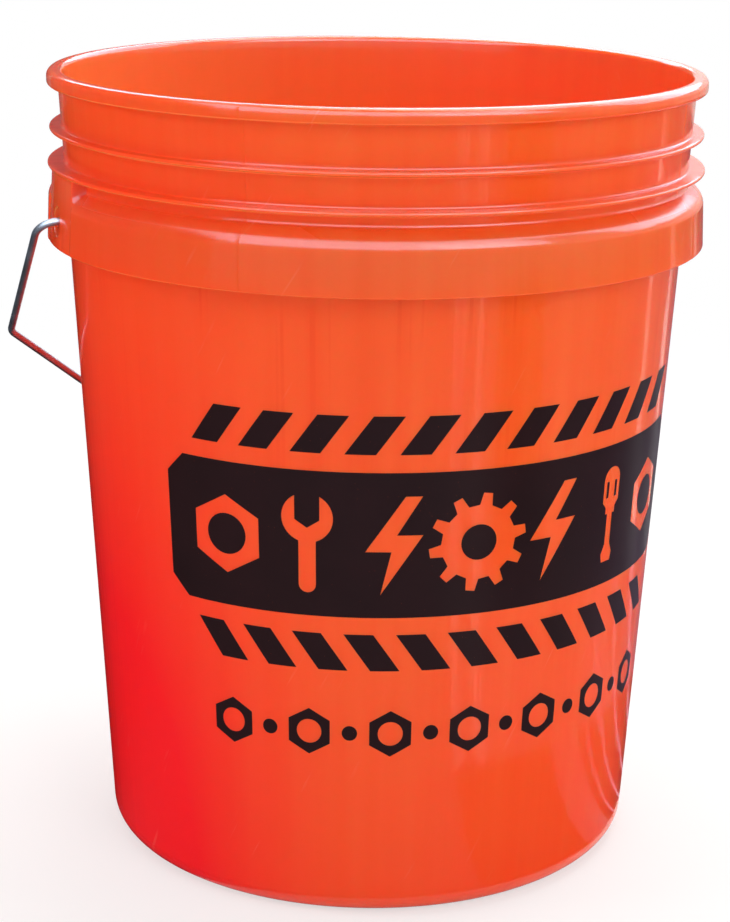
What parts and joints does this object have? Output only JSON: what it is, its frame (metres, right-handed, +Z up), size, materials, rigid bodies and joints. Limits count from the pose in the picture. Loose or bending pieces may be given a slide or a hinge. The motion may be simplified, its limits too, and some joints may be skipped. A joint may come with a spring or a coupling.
{
  "type": "utility pail",
  "caption": "Round tapered open-top plastic pail with a beaded rim, two stacking rings, a skirt band, and a hinged wire bail with a hand grip.",
  "frame": {"origin": "centre of the base, on the surface that the pail stands on", "axes": "+Z up through the open mouth; the bail turns about X, through the two ears; the bail hangs at rest towards +Y, the back, and -Y is the front with the printed panel"},
  "size_m": [0.3272, 0.3093, 0.366],
  "materials": {
    "pail_plastic": "moulded high-density polyethylene, glossy orange",
    "bail_wire": "drawn steel wire, bright zinc plated",
    "grip_plastic": "moulded polyethylene, satin black",
    "print_ink": "screen-printed ink film, near black, satin"
  },
  "bodies": {
    "pail": {"pail": "pail_plastic"},
    "bail": {"bail": "bail_wire"},
    "hand_grip": {"hand_grip": "grip_plastic"}
  },
  "joints": [
    {"name": "bail_swing", "type": "hinge", "parent": "pail", "child": "bail", "pos_m": [0, 0, 0.3015], "axis": [1, 0, 0], "range_deg": [0, 273.1]},
    {"name": "grip_spin", "type": "hinge", "parent": "bail", "child": "hand_grip", "pos_m": [0, 0.14579, 0.14759], "axis": [1, 0, 0], "continuous": true}
  ]
}
